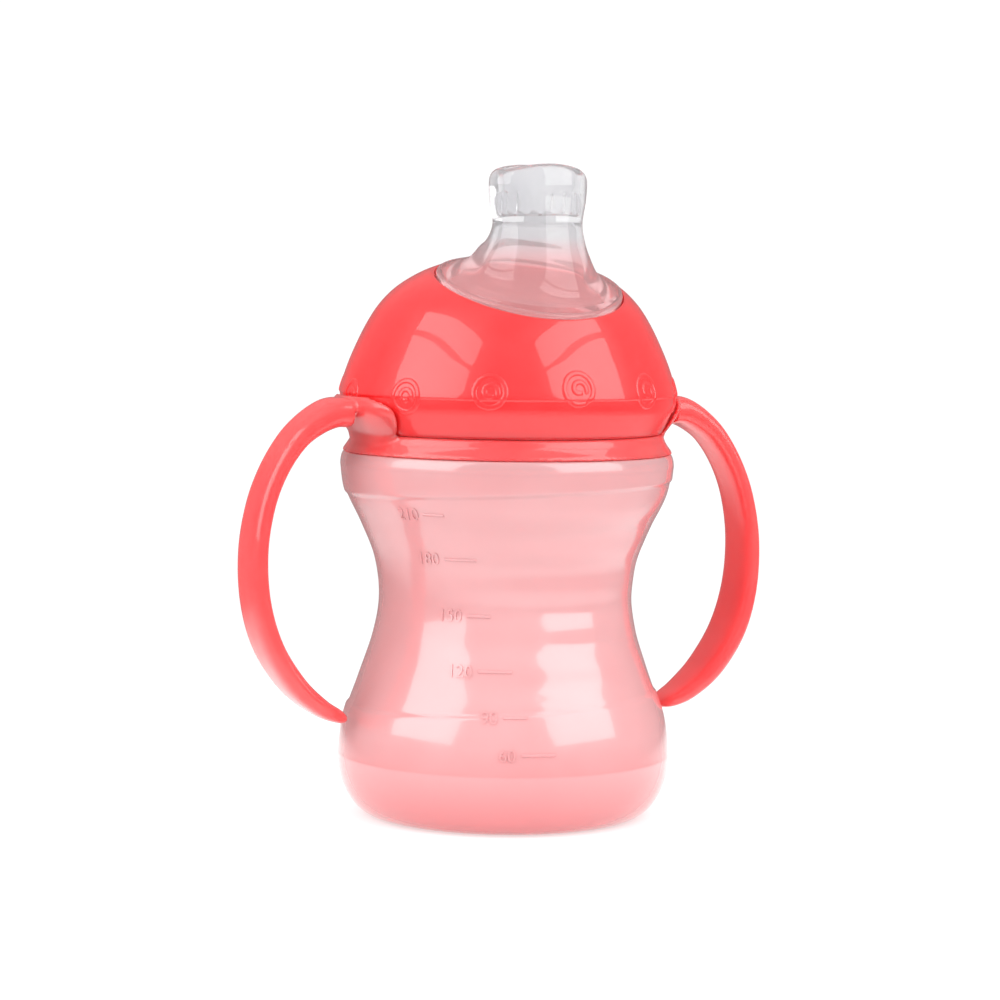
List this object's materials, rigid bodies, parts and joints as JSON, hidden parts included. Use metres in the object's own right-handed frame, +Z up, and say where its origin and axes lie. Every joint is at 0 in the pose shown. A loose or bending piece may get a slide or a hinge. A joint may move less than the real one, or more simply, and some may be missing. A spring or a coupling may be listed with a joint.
{
  "type": "sippy cup",
  "caption": "Hourglass-shaped toddler cup with a band carrying curved side handles, a domed screw-on hood and a clear soft spout tilted towards the drinker.",
  "frame": {"origin": "centre of the cup's base, on the cup's axis, at the height of the surface it stands on", "axes": "+Z up along the cup's axis; the handles lie along +X and -X; the spout leans towards -Y, the drinking side"},
  "size_m": [0.1252, 0.076, 0.1464],
  "materials": {
    "cup_body": "translucent pink polypropylene, satin gloss",
    "handle_ring": "slightly translucent coral polypropylene, gloss",
    "screw_hood": "slightly translucent coral polypropylene, gloss",
    "spout": "clear silicone, gloss"
  },
  "bodies": {
    "cup": {"cup_body": "cup_body"},
    "handle_ring": {"handle_ring": "handle_ring"},
    "hood": {"screw_hood": "screw_hood", "spout": "spout"}
  },
  "joints": [
    {"name": "hood_rise", "type": "slide", "parent": "cup", "child": "handle_ring", "axis": [0, 0, 1], "range_m": [0, 0.0051]},
    {"name": "hood_turn", "type": "hinge", "parent": "handle_ring", "child": "hood", "pos_m": [0, 0, 0.0868], "axis": [0, 0, 1], "range_deg": [0, 450]}
  ],
  "couplings": [
    {"joint": "hood_rise", "follows": "hood_turn", "m_per_rad": 0.00063662}
  ]
}
